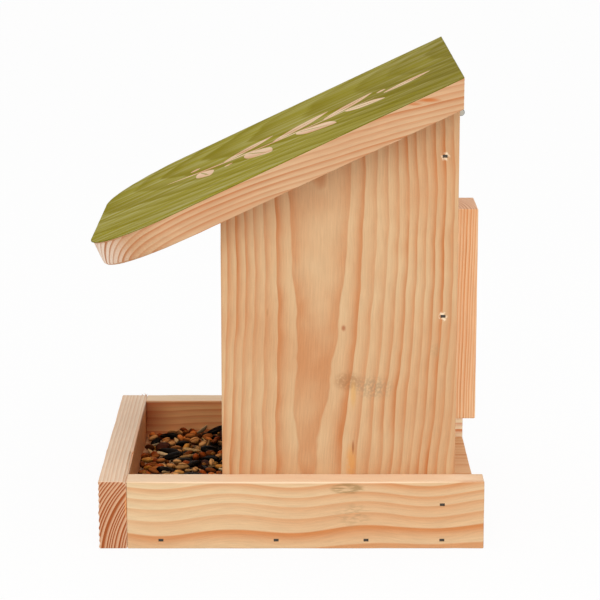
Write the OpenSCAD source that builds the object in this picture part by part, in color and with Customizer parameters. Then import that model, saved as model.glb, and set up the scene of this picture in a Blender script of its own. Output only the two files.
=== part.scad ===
// Hopper bird feeder of planed softwood boards: an open seed tray, a pent hopper with a
// clear front window, a stained roof that lifts on two butt hinges, and a batten at the
// back for fixing it to a wall or post.
// Millimetres, +Z up, the front faces -Y, and right is +X.
// The origin is the middle of the tray's underside.

/* [Boards] */
// Thickness of the planed boards
board_t = 14; // [10:0.5:18]

/* [Tray] */
// Width of the tray over both rails
tray_w = 172; // [150:1:230]
// Length of the tray, from the front board's face to the wall
tray_l = 193; // [170:1:260]
// Height of the front board and of the rails
tray_h = 35; // [28:1:60]

/* [Hopper] */
// Depth of the side panels, from front edge to back edge
panel_d = 117.5; // [90:0.5:130]
// Height of the hopper's back edge above the base
hopper_h = 222.5; // [205:0.5:300]
// Pitch of the roof in degrees
roof_pitch = 25.3; // [15:0.1:32]

/* [Window] */
// Thickness of the clear pane
pane_t = 2; // [1.5:0.5:4]
// Distance of the pane behind the side panels' front edges
pane_inset = 6; // [4:0.5:20]
// Depth of the grooves that hold the pane
groove_d = 4; // [2:0.5:7]
// Height of the seed outlet under the pane
seed_gap = 22; // [15:1:40]

/* [Roof] */
// Width of the roof board
roof_w = 188; // [172:1:260]
// Length of the roof's top face, down the slope
roof_l = 203.5; // [185:0.5:280]
// Radius of the roof's two front corners
roof_corner_r = 45; // [10:1:80]
// Distance that the roof's back edge stands behind the hopper
roof_lip = 0.5; // [0.3:0.1:1]

/* [Batten] */
// Thickness of the batten, and of the tray's overhang behind the hopper
batten_t = 14; // [10:0.5:20]
// Width of the batten
batten_w = 35; // [25:1:60]
// Height of the batten
batten_h = 112; // [100:1:120]
// Height of the batten's lower end above the base
batten_z = 49; // [40:1:65]
// Diameter of the two fixing holes
wall_hole_d = 5; // [4:0.5:7]
// Distance between the two fixing holes
wall_hole_pitch = 80; // [60:1:90]
// Distance between the two screws that hold the batten
batten_screw_pitch = 40; // [20:1:48]

/* [Hinges] */
// Length of a hinge along its pin
hinge_l = 30; // [24:1:40]
// Distance of a hinge's middle inside the side panels
hinge_inset = 24; // [13:1:28]
// Distance of the pin below the roof's lower back edge
hinge_drop = 7; // [3:0.5:8]
// Height of a leaf from the pin to its edge
leaf_h = 16.5; // [14:0.5:18]
// Thickness of a leaf
leaf_t = 1; // [0.8:0.1:1.5]
// Outer diameter of the knuckles
knuckle_d = 3.6; // [3.4:0.1:5]
// Diameter of the pin
pin_d = 2; // [1.5:0.1:2.4]
// Shank diameter of the hinge screws
hinge_screw_d = 2.6; // [2:0.1:3]
// Height of the screws above or below the pin
leaf_screw_z = 11.5; // [9:0.5:13]

/* [Brads] */
// Length of the brads
brad_l = 25; // [20:1:30]
// Long side of a brad's head
brad_head_l = 2.4; // [2:0.1:3.5]
// Short side of a brad's head
brad_head_w = 1.4; // [1.2:0.1:2]
// Depth of a brad's head below the wood
brad_sink = 0.4; // [0.2:0.1:1]
// Distance of a rail's first brad behind the front board
brad_row_gap = 17; // [12:0.5:30]
// Height of the row of brads along a rail
brad_row_z = 4.5; // [3:0.5:7]
// Height of the upper brad on a rail
brad_high_z = 23; // [20:0.5:26]
// Distance of a side panel's upper brad below its back corner
panel_brad_drop = 25.5; // [22:0.5:60]
// Distance between a side panel's two brads
panel_brad_pitch = 80.5; // [40:0.5:100]

/* [Seed] */
// Depth of the seed at the tray's front
seed_front_d = 4; // [2:0.5:8]
// Depth of the seed in the hopper
seed_hopper_d = 8; // [4:0.5:12]

/* [Hidden] */
$fn = 48;

// Colours
pine = "#DFAF80";
pine_edge = "#E6B98C";
stain = "#958B3D";
clear = "#DDEBEE";
zinc = "#B9BDBF";
steel = "#5A544C";
seed = "#5A3A22";

// Clearances: cut overshoot, round a fastener, pin in knuckle, between knuckles,
// knuckle to wood, roof to hopper, pane in groove, pane under roof, seed to wood
over = 1;
fastener_fit = 0.05;
pin_fit = 0.05;
knuckle_gap = 0.3;
hinge_fit = 0.3;
roof_fit = 0.3;
pane_fit = 0.3;
pane_top_fit = 2;
seed_fit = 0.5;

// Planes across the feeder: rails, side panels and the hopper's inside
rail_x = tray_w / 2;
panel_x = rail_x - board_t;
hopper_x = panel_x - board_t;

// Planes along it: the tray's ends, the hopper's back face and the panels' front edges
tray_front = -tray_l / 2;
tray_back = tray_l / 2;
floor_front = tray_front + board_t;
back_y = tray_back - batten_t;
back_mid = back_y - board_t / 2;
panel_front = back_y - panel_d;
pane_y = panel_front + pane_inset;
pane_z = board_t + seed_gap;
roof_back = back_y + roof_lip;

// Height of the hopper's sloping top at depth y
function top_z(y) = hopper_h - (back_y - y) * tan(roof_pitch);

// Hinge pin, and the share of a hinge's length in its middle knuckle
hinge_x = hopper_x - hinge_inset;
pin_y = back_y + knuckle_d / 2 + hinge_fit;
pin_z = hopper_h - hinge_drop;
knuckle_share = 0.46;
middle_l = hinge_l * knuckle_share;
pin_head_d = pin_d + 1;
pin_head_t = 0.6;
leaf_screw_share = 0.3;
leaf_screw_x = hinge_l * leaf_screw_share;
hinge_screw_l = board_t - 3;
screw_head_ratio = 1.9;
cross_slot = 0.55;

// Fastener patterns: places along a rail as shares of its row, and down the front board
brad_row_first = floor_front + brad_row_gap;
rail_brad_share = [0, 0.41, 0.73, 1];
floor_brad_share = [0.57, 0.865];
front_brad_share = [0.28, 0.72];
brad_head_t = 0.8;
brad_shank = [1, 1.25];
batten_screw_l = board_t + batten_t - 3;
batten_screw_d = 3.5;
batten_mid = batten_z + batten_h / 2;

// A brad driven down -Z, its head sunk below z = 0
module brad(fit = 0) {
  for (part = [
    [brad_head_w, brad_head_l, brad_head_t],
    [brad_shank[0], brad_shank[1], brad_l]
  ])
    translate([-part[0] / 2 - fit, -part[1] / 2 - fit, -brad_sink - part[2] - fit])
      cube([part[0] + 2 * fit, part[1] + 2 * fit, part[2] + fit]);
}

// The hole that a brad leaves in the wood
module brad_hole() {
  brad(fastener_fit);
  translate([-brad_head_w / 2 - fastener_fit, -brad_head_l / 2 - fastener_fit, -brad_sink - brad_head_t])
    cube([brad_head_w + 2 * fastener_fit, brad_head_l + 2 * fastener_fit, brad_sink + brad_head_t + over]);
}

// A countersunk screw driven down -Z from z = 0, with a tapered point
module screw_shape(d, length, fit = 0) {
  r = d / 2 + fit;
  head_r = d / 2 * screw_head_ratio + fit;
  rotate_extrude()
    polygon([
      [0, fit], [head_r, fit], [head_r, 0], [r, -(head_r - r)],
      [r, -length + 2 * r], [0, -length - fit]
    ]);
}

module screw(d, length) {
  slot_l = d * screw_head_ratio * 0.6;
  difference() {
    screw_shape(d, length);
    for (turn = [0, 90])
      rotate(turn)
        translate([-slot_l / 2, -cross_slot / 2, -d / 4])
          cube([slot_l, cross_slot, d / 4 + over]);
  }
}

// Places of the fasteners, each with its head's outside along +Z
module at_rail_brads() {
  for (share = rail_brad_share)
    translate([rail_x, brad_row_first + share * (back_mid - brad_row_first), brad_row_z])
      rotate([0, 90, 0]) children();
  translate([rail_x, back_mid, brad_high_z]) rotate([0, 90, 0]) children();
}

module at_panel_brads() {
  for (drop = [panel_brad_drop, panel_brad_drop + panel_brad_pitch])
    translate([panel_x, back_mid, hopper_h - drop]) rotate([0, 90, 0]) children();
}

module at_front_brads() {
  for (side = [-1, 1], share = front_brad_share)
    translate([side * (rail_x - board_t / 2), tray_front, share * tray_h])
      rotate([90, 0, 0]) children();
}

module at_floor_brads() {
  for (side = [-1, 1], share = floor_brad_share)
    translate([
      side * (hopper_x + board_t / 2),
      brad_row_first + share * (back_mid - brad_row_first), 0
    ])
      rotate([180, 0, 0]) children();
}

module at_batten_screws() {
  for (end = [-1, 1])
    translate([0, back_y - board_t, batten_mid + end * batten_screw_pitch / 2])
      rotate([90, 0, 0]) children();
}

module at_wall_screws() {
  for (end = [-1, 1])
    translate([hinge_x + end * leaf_screw_x, back_y + leaf_t, pin_z - leaf_screw_z])
      rotate([-90, 0, 0]) children();
}

module at_roof_screws() {
  for (end = [-1, 1])
    translate([hinge_x + end * leaf_screw_x, roof_back + leaf_t, pin_z + leaf_screw_z])
      rotate([-90, 0, 0]) children();
}

module both_sides() {
  children();
  mirror([1, 0, 0]) children();
}

// Through holes for the screws that fix the feeder to a wall
module wall_holes() {
  for (end = [-1, 1])
    translate([0, back_y - board_t - over, batten_mid + end * wall_hole_pitch / 2])
      rotate([-90, 0, 0])
        cylinder(d = wall_hole_d, h = board_t + batten_t + 2 * over);
}

// A wall of the hopper between two depths, its top cut to the roof's pitch
module pitched_wall(y0, y1, thick) {
  rotate([90, 0, 90])
    linear_extrude(thick)
      polygon([[y0, board_t], [y1, board_t], [y1, top_z(y1)], [y0, top_z(y0)]]);
}

module front_board() {
  color(pine_edge)
    difference() {
      translate([-rail_x, tray_front, 0]) cube([tray_w, board_t, tray_h]);
      at_front_brads() brad_hole();
    }
}

module rail() {
  color(pine)
    difference() {
      translate([panel_x, floor_front, 0]) cube([board_t, tray_back - floor_front, tray_h]);
      at_rail_brads() brad_hole();
      at_front_brads() brad_hole();
    }
}

module floor_board() {
  color(pine)
    difference() {
      translate([-panel_x, floor_front, 0]) cube([2 * panel_x, tray_back - floor_front, board_t]);
      both_sides() at_rail_brads() brad_hole();
      at_floor_brads() brad_hole();
    }
}

module side_panel() {
  color(pine)
    difference() {
      translate([hopper_x, 0, 0]) pitched_wall(panel_front, back_y, board_t);
      translate([hopper_x - over, pane_y - pane_fit, pane_z])
        cube([groove_d + over, pane_t + 2 * pane_fit, hopper_h]);
      at_panel_brads() brad_hole();
      at_rail_brads() brad_hole();
      at_floor_brads() brad_hole();
    }
}

module back_panel() {
  color(pine)
    difference() {
      translate([-hopper_x, 0, 0]) pitched_wall(back_y - board_t, back_y, 2 * hopper_x);
      wall_holes();
      both_sides() at_panel_brads() brad_hole();
      both_sides() at_wall_screws() screw_shape(hinge_screw_d, hinge_screw_l, fastener_fit);
      at_batten_screws() screw_shape(batten_screw_d, batten_screw_l, fastener_fit);
    }
}

module wall_batten() {
  color(pine_edge)
    difference() {
      translate([-batten_w / 2, back_y, batten_z]) cube([batten_w, batten_t, batten_h]);
      wall_holes();
      at_batten_screws() screw_shape(batten_screw_d, batten_screw_l, fastener_fit);
    }
}

module window_pane() {
  pane_w = 2 * (hopper_x + groove_d - pane_fit);
  color(clear, 0.35)
    translate([-pane_w / 2, pane_y, pane_z])
      cube([pane_w, pane_t, top_z(pane_y) - pane_top_fit - pane_z]);
}

// The roof board: rounded front corners, and a back edge cut plumb
module roof_board() {
  front = roof_l - board_t * tan(roof_pitch);
  color(stain)
    difference() {
      translate([0, roof_back, top_z(roof_back) + roof_fit])
        rotate([roof_pitch, 0, 0])
          difference() {
            translate([-roof_w / 2, -front, 0])
              cube([roof_w, front + board_t, board_t]);
            both_sides() roof_corner_waste(front);
          }
      translate([-roof_w, roof_back, 0]) cube([2 * roof_w, 2 * board_t, 2 * hopper_h]);
      both_sides() at_roof_screws() screw_shape(hinge_screw_d, hinge_screw_l, fastener_fit);
    }
}

// What is sawn off a square corner to round it
module roof_corner_waste(front) {
  translate([roof_w / 2 - roof_corner_r, -front + roof_corner_r, 0])
    difference() {
      translate([0, -roof_corner_r - over, -over])
        cube([roof_corner_r + over, roof_corner_r + over, board_t + 2 * over]);
      translate([0, 0, -2 * over]) cylinder(r = roof_corner_r, h = board_t + 4 * over, $fn = 96);
    }
}

// A tube round the pin, centred at x
module knuckle(x, length) {
  translate([x - length / 2, pin_y, pin_z]) rotate([0, 90, 0]) cylinder(d = knuckle_d, h = length);
}

module pin_bore() {
  translate([hinge_x - hinge_l, pin_y, pin_z])
    rotate([0, 90, 0]) cylinder(d = pin_d + 2 * pin_fit, h = 2 * hinge_l);
}

// Fixed leaf: a plate on the hopper's back and the two outer knuckles
module hinge_wall_leaf() {
  outer_l = (hinge_l - middle_l) / 2 - knuckle_gap;
  plate_top = knuckle_d / 2 + knuckle_gap;
  color(zinc)
    difference() {
      union() {
        translate([hinge_x - hinge_l / 2, back_y, pin_z - leaf_h])
          cube([hinge_l, leaf_t, leaf_h - plate_top]);
        for (side = [-1, 1]) {
          x = hinge_x + side * (hinge_l - outer_l) / 2;
          translate([x - outer_l / 2, back_y, pin_z - leaf_h]) cube([outer_l, leaf_t, leaf_h]);
          knuckle(x, outer_l);
        }
      }
      pin_bore();
      at_wall_screws() screw_shape(hinge_screw_d, hinge_screw_l, fastener_fit);
    }
}

// Moving leaf: a plate on the roof's plumb edge and the middle knuckle
module hinge_roof_leaf() {
  plate_foot = knuckle_d / 2 + knuckle_gap;
  color(zinc)
    difference() {
      union() {
        translate([hinge_x - hinge_l / 2, roof_back, pin_z + plate_foot])
          cube([hinge_l, leaf_t, leaf_h - plate_foot]);
        translate([hinge_x - middle_l / 2, roof_back, pin_z]) cube([middle_l, leaf_t, leaf_h]);
        knuckle(hinge_x, middle_l);
      }
      pin_bore();
      at_roof_screws() screw_shape(hinge_screw_d, hinge_screw_l, fastener_fit);
    }
}

// Pin through the knuckles, with a head peened over at each end
module hinge_pin() {
  color(zinc) {
    translate([hinge_x - hinge_l / 2, pin_y, pin_z])
      rotate([0, 90, 0]) cylinder(d = pin_d, h = hinge_l);
    for (x = [hinge_x - hinge_l / 2 - pin_head_t, hinge_x + hinge_l / 2])
      translate([x, pin_y, pin_z]) rotate([0, 90, 0]) cylinder(d = pin_head_d, h = pin_head_t);
  }
}

module hinge_wall_screws() {
  color(zinc) at_wall_screws() screw(hinge_screw_d, hinge_screw_l);
}

module hinge_roof_screws() {
  color(zinc) at_roof_screws() screw(hinge_screw_d, hinge_screw_l);
}

module batten_screws() {
  color(zinc) at_batten_screws() screw(batten_screw_d, batten_screw_l);
}

module front_brads() {
  color(steel) at_front_brads() brad();
}

module rail_brads() {
  color(steel) at_rail_brads() brad();
}

module panel_brads() {
  color(steel) at_panel_brads() brad();
}

module floor_brads() {
  color(steel) at_floor_brads() brad();
}

// A shallow bed of mixed seed: deepest in the hopper, thinning to the tray's front
module seed_mix() {
  tray_x = panel_x - seed_fit;
  bed_x = hopper_x - seed_fit;
  bed_front = floor_front + seed_fit;
  bed_neck = panel_front - seed_fit;
  bed_back = back_y - board_t - seed_fit;
  color(seed)
    difference() {
      translate([-tray_x, 0, 0])
        rotate([90, 0, 90])
          linear_extrude(2 * tray_x)
            polygon([
              [bed_front, board_t], [bed_back, board_t],
              [bed_back, board_t + seed_hopper_d], [bed_neck, board_t + seed_hopper_d],
              [bed_front, board_t + seed_front_d]
            ]);
      both_sides()
        translate([bed_x, bed_neck, board_t - over])
          cube([tray_x - bed_x + over, bed_back - bed_neck + over, seed_hopper_d + 2 * over]);
    }
}

front_board();
mirror([1, 0, 0]) rail();  // rail_left
rail();  // rail_right
floor_board();
mirror([1, 0, 0]) side_panel();  // side_panel_left
side_panel();  // side_panel_right
back_panel();
wall_batten();
window_pane();
front_brads();
mirror([1, 0, 0]) rail_brads();  // rail_brads_left
rail_brads();  // rail_brads_right
mirror([1, 0, 0]) panel_brads();  // panel_brads_left
panel_brads();  // panel_brads_right
floor_brads();
batten_screws();
mirror([1, 0, 0]) hinge_wall_leaf();  // hinge_wall_leaf_left
hinge_wall_leaf();  // hinge_wall_leaf_right
mirror([1, 0, 0]) hinge_pin();  // hinge_pin_left
hinge_pin();  // hinge_pin_right
mirror([1, 0, 0]) hinge_wall_screws();  // hinge_wall_screws_left
hinge_wall_screws();  // hinge_wall_screws_right
seed_mix();
roof_board();
mirror([1, 0, 0]) hinge_roof_leaf();  // hinge_roof_leaf_left
hinge_roof_leaf();  // hinge_roof_leaf_right
mirror([1, 0, 0]) hinge_roof_screws();  // hinge_roof_screws_left
hinge_roof_screws();  // hinge_roof_screws_right
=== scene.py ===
import math

import bmesh
import bpy
import numpy as np
from mathutils import Euler, Matrix, Vector, noise


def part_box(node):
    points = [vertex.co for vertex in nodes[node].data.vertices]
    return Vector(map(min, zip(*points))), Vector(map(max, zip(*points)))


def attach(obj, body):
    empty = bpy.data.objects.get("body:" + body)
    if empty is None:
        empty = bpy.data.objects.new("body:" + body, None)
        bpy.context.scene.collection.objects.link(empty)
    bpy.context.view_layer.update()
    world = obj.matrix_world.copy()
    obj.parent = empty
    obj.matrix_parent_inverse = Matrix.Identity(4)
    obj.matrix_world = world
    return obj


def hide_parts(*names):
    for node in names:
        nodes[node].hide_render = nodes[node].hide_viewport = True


# Hopper bird feeder in bare larch with a green-stained roof.
# Metres, in the CAD frame: +Z up, the front faces -Y, the photo looks along -X.
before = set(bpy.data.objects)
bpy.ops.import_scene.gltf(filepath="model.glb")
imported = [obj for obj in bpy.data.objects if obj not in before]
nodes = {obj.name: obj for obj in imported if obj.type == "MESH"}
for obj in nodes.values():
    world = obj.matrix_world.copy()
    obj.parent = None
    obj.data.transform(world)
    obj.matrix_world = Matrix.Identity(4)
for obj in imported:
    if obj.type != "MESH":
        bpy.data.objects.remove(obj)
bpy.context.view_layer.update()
mm = 0.001
print("frame loaded,", len(nodes), "nodes")

# Camera: side on, a little above, with a long lens; lens and sensor in millimetres
cameraView = {
    "place": (1.2205, 0.0031, 0.3759),
    "down": 12.33,  # degrees below level
    "turn": 0.06,  # degrees towards the wall
    "lens": 141.96,
    "sensor": 36,
}
camera = bpy.data.objects.new("camera", bpy.data.cameras.new("camera"))
camera.data.sensor_width = cameraView["sensor"]
camera.data.lens = cameraView["lens"]
camera.location = cameraView["place"]
camera.rotation_euler = (
    math.radians(90 - cameraView["down"]), 0, math.radians(90 - cameraView["turn"]))
bpy.context.scene.collection.objects.link(camera)
bpy.context.scene.camera = camera
bpy.context.scene.view_settings.view_transform = "Standard"


def linear(code):
    parts = [int(code[i:i + 2], 16) / 255 for i in (1, 3, 5)]
    return [p / 12.92 if p <= 0.04045 else ((p + 0.055) / 1.055) ** 2.4 for p in parts] + [1.0]


def feed(tree, made, inputs):
    # an input is a fixed value, a socket, or a node that stands for the first output it shows
    for key, value in inputs.items():
        if isinstance(value, bpy.types.Node):
            value = next(o for o in value.outputs if o.enabled)
        if isinstance(value, bpy.types.NodeSocket):
            tree.links.new(value, made.inputs[key])
        else:
            made.inputs[key].default_value = value


def addNode(tree, kind, inputs=None, **settings):
    made = tree.nodes.new("ShaderNode" + kind)
    for key, value in settings.items():
        setattr(made, key, value)
    feed(tree, made, inputs or {})
    return made


def newMaterial(name):
    material = bpy.data.materials.new(name)
    material.use_nodes = True
    return material, material.node_tree, material.node_tree.nodes["Principled BSDF"]


def newPiece(name, bm, materials):
    mesh = bpy.data.meshes.new(name)
    bm.to_mesh(mesh)
    bm.free()
    for material in materials:
        mesh.materials.append(material)
    piece = bpy.data.objects.new(name, mesh)
    bpy.context.scene.collection.objects.link(piece)
    return piece


def standFor(piece, body, cad):
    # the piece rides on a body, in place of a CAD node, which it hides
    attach(piece, body)
    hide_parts(cad["node"])


# Studio: an even white tent, a soft key from the camera's upper right, a pale floor
studio = {
    "white": "#FFFFFF",
    "tent": 0.84,  # strength of the white all round
    "key": 6.5,  # watts
    "keyPlace": (1.1, 0.1, 0.92),
    "keyAim": (0, 0, 0.1),
    "keySize": 0.9,
    "floorColour": "#F4F3F1",
    "floorRough": 0.9,
    "floorWhite": 0.92,  # share of plain white that the camera sees in the floor
    "floorHalf": 6,
    "floorDrop": 0.2,  # millimetres under the feeder
}


def seenDirectly(tree):
    # rays that show the white itself: straight from the camera, mirrored, or through the pane
    path = addNode(tree, "LightPath")
    seen = path.outputs["Is Camera Ray"]
    for ray in ("Is Glossy Ray", "Is Transmission Ray"):
        seen = addNode(tree, "Math", {0: seen, 1: path.outputs[ray]}, operation="MAXIMUM")
    return seen


world = bpy.data.worlds.new("tent")
bpy.context.scene.world = world
world.use_nodes = True
tree = world.node_tree
tree.nodes.clear()
white = linear(studio["white"])
tentLight = addNode(tree, "Background", {"Color": white, "Strength": studio["tent"]})
tentSeen = addNode(tree, "Background", {"Color": white, "Strength": 1.0})
tentMix = addNode(tree, "MixShader", {0: seenDirectly(tree), 1: tentLight, 2: tentSeen})
addNode(tree, "OutputWorld", {"Surface": tentMix})

lamp = bpy.data.lights.new("key", "AREA")
lamp.energy = studio["key"]
lamp.size = studio["keySize"]
key = bpy.data.objects.new("key", lamp)
key.location = studio["keyPlace"]
key.rotation_euler = (Vector(studio["keyAim"]) - key.location).to_track_quat("-Z", "Y").to_euler()
bpy.context.scene.collection.objects.link(key)

material, tree, shader = newMaterial("paleFloor")
feed(tree, shader, {"Base Color": linear(studio["floorColour"]), "Roughness": studio["floorRough"]})
share = addNode(tree, "Math", {0: seenDirectly(tree), 1: studio["floorWhite"]}, operation="MULTIPLY")
plain = addNode(tree, "Emission", {"Color": white, "Strength": 1.0})
floorMix = addNode(tree, "MixShader", {0: share, 1: shader, 2: plain})
feed(tree, tree.nodes["Material Output"], {"Surface": floorMix})
bm = bmesh.new()
bmesh.ops.create_grid(bm, x_segments=1, y_segments=1, size=studio["floorHalf"])
bmesh.ops.translate(bm, verts=bm.verts, vec=(0, 0, -studio["floorDrop"] * mm))
floor = newPiece("floor", bm, [material])
print("studio set")

# Larch, planed and left bare: cream early wood, orange late wood that ends sharply at each
# year's edge, fine fibres along the grain, redder and darker where the grain ends show.
# Lengths are in millimetres. Each board is cut from its own place in a log, and the roof's top
# from another than its sides.
grainTurn = {"X": (0, 90, 0), "Y": (-90, 0, 0), "Z": (0, 0, 0)}
larch = {
    "pale": "#E9BE8D",
    "late": "#D0884D",
    "endPale": "#D9AE88",
    "endLate": "#B0703F",
    "turn": grainTurn["Z"],
    "pith": (0, 0, 0),
    "years": 4.0,  # width of a year's growth
    "band": 0.45,  # late wood's share of it
    "edge": 0.95,  # where in the year it is darkest
    "profile": ((1.6, 0.06), (0.9, 0.42), (0.3, 0.92), (0.0, 1.0)),  # bands before that, darkness
    "firstYear": 40,  # keeps the count of years above zero
    "phase": 0.0,
    "uneven": 1.2,  # how far the years' widths drift, in years
    "driftScale": 0.23,
    "weakest": 0.3,  # darkness of the weakest late wood
    "wander": 3.0,  # sideways wander of the grain
    "wanderAcross": 45.0,
    "wanderAlong": 150.0,
    "lean": (0.0, 0.0),  # how far the years crowd to one side
    "taper": 0.0,  # of the log, for each metre of it
    "bow": (0.0, 0.0),
    "bowLength": 300.0,
    "bowStart": 0.0,
    "fibre": 0.12,  # contrast of the fibres
    "fibreAcross": 0.7,
    "fibreAlong": 14.0,
    "relief": 0.12,  # depth of the fibres, a little more than the real one so that it shows
    "rough": 0.62,
    "gloss": 0.25,
    "seed": 0.0,
}


def followGrain(tree, wood, place):
    # a place in the log in millimetres, with Z along its grain, which wanders and bows
    local = addNode(tree, "Mapping", {
        "Vector": place, "Location": [p * mm for p in wood["pith"]],
        "Rotation": [math.radians(a) for a in wood["turn"]], "Scale": (mm, mm, mm),
    }, vector_type="TEXTURE")
    slow = addNode(tree, "VectorMath", {
        0: local, 1: (1 / wood["wanderAcross"], 1 / wood["wanderAcross"], 1 / wood["wanderAlong"]),
    }, operation="MULTIPLY")
    wander = addNode(tree, "TexNoise", {
        "Vector": slow, "Scale": 1.0, "Detail": 2.0, "Roughness": 0.45, "W": wood["seed"],
    }, noise_dimensions="4D")
    centred = addNode(tree, "VectorMath", {
        0: wander.outputs["Color"], 1: (0.5, 0.5, 0.5),
    }, operation="SUBTRACT")
    moved = addNode(tree, "VectorMath", {
        0: centred, 1: (2 * wood["wander"], 2 * wood["wander"], 0), 2: local,
    }, operation="MULTIPLY_ADD")
    along = addNode(tree, "SeparateXYZ", {0: local})
    swing = addNode(tree, "Math", {
        0: along.outputs["Z"], 1: 2 * math.pi / wood["bowLength"], 2: wood["bowStart"],
    }, operation="MULTIPLY_ADD")
    swing = addNode(tree, "Math", {0: swing}, operation="SINE")
    bow = addNode(tree, "VectorMath", {"Scale": swing, 0: (*wood["bow"], 0)}, operation="SCALE")
    bowed = addNode(tree, "VectorMath", {0: moved, 1: bow}, operation="ADD")
    return {"slow": slow, "wander": wander, "along": along.outputs["Z"], "bowed": bowed}


def countYears(tree, wood, grain):
    # years out from the pith, crowded to one side and drifting in width
    flat = addNode(tree, "VectorMath", {0: grain["bowed"], 1: (1, 1, 0)}, operation="MULTIPLY")
    taper = addNode(tree, "Math", {
        0: grain["along"], 1: wood["taper"] * mm, 2: 1.0,
    }, operation="MULTIPLY_ADD")
    flat = addNode(tree, "VectorMath", {0: flat, "Scale": taper}, operation="SCALE")
    radius = addNode(tree, "VectorMath", {0: flat}, operation="LENGTH")
    lean = addNode(tree, "VectorMath", {0: flat, 1: (*wood["lean"], 0)}, operation="DOT_PRODUCT")
    grown = addNode(tree, "Math", {0: radius, 1: lean}, operation="SUBTRACT")
    count = addNode(tree, "Math", {0: grown, 1: wood["years"]}, operation="DIVIDE")
    drift = addNode(tree, "TexNoise", {
        "W": count, "Scale": wood["driftScale"], "Detail": 1.0,
    }, noise_dimensions="1D")
    year = addNode(tree, "Math", {0: drift, 1: 2 * wood["uneven"], 2: count}, operation="MULTIPLY_ADD")
    return addNode(tree, "Math", {0: year, 1: wood["firstYear"] + wood["phase"]}, operation="ADD")


def lateWood(tree, wood, grain):
    # how dark each place is within its year, with some years stronger than others
    year = countYears(tree, wood, grain)
    part = addNode(tree, "Math", {0: year}, operation="FRACT")
    whole = addNode(tree, "Math", {0: year}, operation="FLOOR")
    profile = addNode(tree, "ValToRGB", {0: part})
    stops = profile.color_ramp.elements
    for back, amount in wood["profile"]:
        stops.new(max(wood["edge"] - back * wood["band"], 0.02)).color = (amount, amount, amount, 1)
    stops[-1].color = stops[0].color = (0, 0, 0, 1)
    chance = addNode(tree, "TexWhiteNoise", {"W": whole}, noise_dimensions="1D")
    strength = addNode(tree, "MapRange", {"Value": chance, "To Min": wood["weakest"], "To Max": 1.0})
    late = addNode(tree, "Math", {0: profile, 1: strength}, operation="MULTIPLY")
    fade = addNode(tree, "MapRange", {
        "Value": grain["wander"], "From Min": 0.3, "From Max": 0.65, "To Min": 0.62, "To Max": 1.1,
    })
    return addNode(tree, "Math", {0: late, 1: fade}, operation="MULTIPLY", use_clamp=True)


def growWood(tree, wood):
    # what the wood finishes are mixed from
    coords = addNode(tree, "TexCoord")
    grain = followGrain(tree, wood, coords.outputs["Object"])
    fine = addNode(tree, "VectorMath", {
        0: grain["bowed"], 1: (1 / wood["fibreAcross"], 1 / wood["fibreAcross"], 1 / wood["fibreAlong"]),
    }, operation="MULTIPLY")
    fibre = addNode(tree, "TexNoise", {"Vector": fine, "Scale": 1.0, "Detail": 4.0, "Roughness": 0.62})
    broad = addNode(tree, "TexNoise", {"Vector": grain["slow"], "Scale": 0.9, "Detail": 2.0})
    axis = Euler([math.radians(a) for a in wood["turn"]]).to_matrix() @ Vector((0, 0, 1))
    facing = addNode(tree, "VectorMath", {0: coords.outputs["Normal"], 1: axis}, operation="DOT_PRODUCT")
    facing = addNode(tree, "Math", {0: facing}, operation="ABSOLUTE")
    end = addNode(tree, "MapRange", {"Value": facing, "From Min": 0.55, "From Max": 0.95})
    return {
        "object": coords.outputs["Object"], "bowed": grain["bowed"], "late": lateWood(tree, wood, grain),
        "fibre": fibre, "broad": broad, "end": end,
    }


def woodRelief(tree, grown, shader, wood):
    # fibres and late wood stand a few hundredths of a millimetre proud
    height = addNode(tree, "Math", {0: grown["late"], 1: 0.45, 2: grown["fibre"]}, operation="MULTIPLY_ADD")
    bump = addNode(tree, "Bump", {"Height": height, "Strength": 0.5, "Distance": wood["relief"] * mm})
    rough = addNode(tree, "MapRange", {
        "Value": grown["fibre"], "To Min": wood["rough"] + 0.1, "To Max": wood["rough"] - 0.06,
    })
    feed(tree, shader, {
        "Normal": bump, "Roughness": rough, "IOR": 1.5, "Specular IOR Level": wood["gloss"],
    })


def blotches(tree, size, detail):
    # uneven spots of a size in millimetres, which may differ along X, Y and Z
    coords = addNode(tree, "TexCoord")
    scaled = addNode(tree, "Mapping", {
        "Vector": coords.outputs["Object"], "Scale": [1 / s / mm for s in np.broadcast_to(size, 3)],
    })
    return addNode(tree, "TexNoise", {"Vector": scaled, "Scale": 1.0, "Detail": detail})


def layOver(tree, colour, over, pattern, span, shares, **fade):
    # a second colour over the first, by a pattern's values from one end of a span to the other
    share = addNode(tree, "MapRange", {
        "Value": pattern, "From Min": span[0], "From Max": span[1], "To Min": shares[0], "To Max": shares[1],
    }, **fade)
    return addNode(tree, "Mix", {0: share, 6: colour, 7: over}, data_type="RGBA")


def vary(tree, colour, pattern, span, shades, **fade):
    # a colour darkened and lightened in the same way
    shade = addNode(tree, "MapRange", {
        "Value": pattern, "From Min": span[0], "From Max": span[1], "To Min": shades[0], "To Max": shades[1],
    }, **fade)
    return addNode(tree, "Mix", {0: 1.0, 6: colour, 7: shade}, data_type="RGBA", blend_type="MULTIPLY")


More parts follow.
